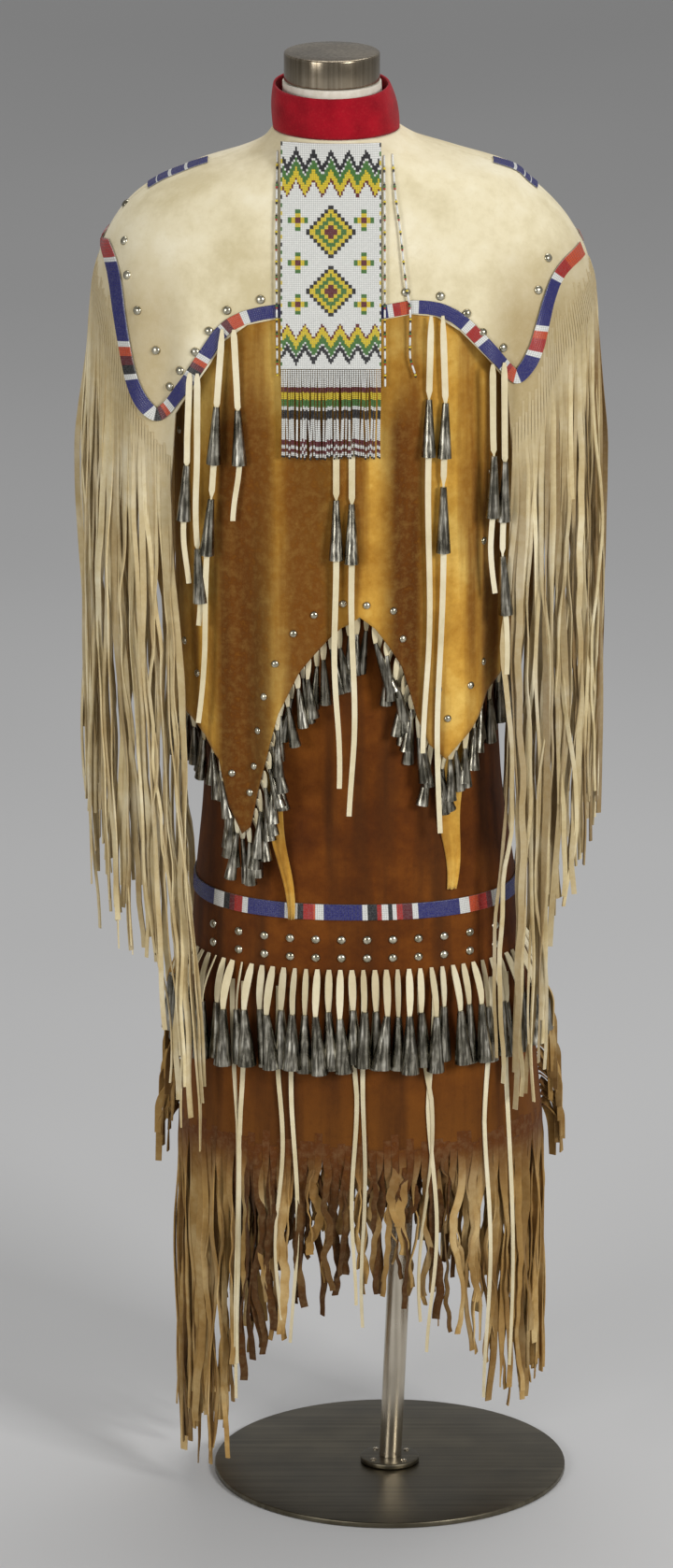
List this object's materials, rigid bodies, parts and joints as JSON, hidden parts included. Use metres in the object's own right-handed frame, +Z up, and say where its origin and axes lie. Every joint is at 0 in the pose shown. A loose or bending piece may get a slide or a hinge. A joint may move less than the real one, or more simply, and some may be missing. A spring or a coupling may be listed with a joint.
{
  "type": "native american buckskin dress on a dress form stand",
  "caption": "Fringed hide dress with cape yoke, pointed overlay, bead bands and tin cones, worn by a limbless dress form on a steel pole and round base.",
  "frame": {"origin": "centre of the round base plate's underside", "axes": "+Z up, -Y the way the front of the dress faces, +X to the right as the front is seen"},
  "size_m": [0.5328, 0.38, 1.5677],
  "materials": {
    "steel": "brushed",
    "form_cover": "smooth cloth",
    "red_wool": "felted wool",
    "cream_hide": "napped",
    "golden_hide": "napped",
    "rust_hide": "napped",
    "bead_band": "glass beads",
    "bib_beads": "glass beads",
    "tin_cones": "dulled tin"
  },
  "bodies": {
    "root": {"base_plate": "steel", "base_flange": "steel", "stand_pole": "steel", "neck_cap": "steel", "dress_form": "form_cover", "collar_band": "red_wool", "yoke_front": "cream_hide", "yoke_back": "cream_hide", "yoke_band_front": "bead_band", "yoke_band_back": "bead_band", "shoulder_band_left": "bead_band", "shoulder_band_right": "bead_band", "bodice_front": "golden_hide", "bodice_back": "golden_hide", "bodice_tab_left": "golden_hide", "bodice_tab_right": "golden_hide", "bodice_cones_front": "tin_cones", "bodice_cones_back": "tin_cones", "skirt_front": "rust_hide", "skirt_back": "rust_hide", "skirt_band_front": "bead_band", "skirt_band_back": "bead_band", "skirt_cones_front": "tin_cones", "skirt_cones_back": "tin_cones", "long_thongs_front": "cream_hide", "long_thongs_back": "cream_hide", "hem_fringe_front": "rust_hide", "hem_fringe_back": "rust_hide", "sleeve_fringe_left_front": "cream_hide", "sleeve_fringe_left_back": "cream_hide", "sleeve_fringe_right_front": "cream_hide", "sleeve_fringe_right_back": "cream_hide", "side_fringe_left": "rust_hide", "side_fringe_right": "rust_hide", "bib_panel": "bib_beads", "bib_fringe": "bib_beads", "drop_left_outer": "cream_hide", "drop_left_pair": "cream_hide", "drop_centre": "cream_hide", "drop_right_pair": "cream_hide", "drop_right_outer": "cream_hide"}
  },
  "joints": []
}
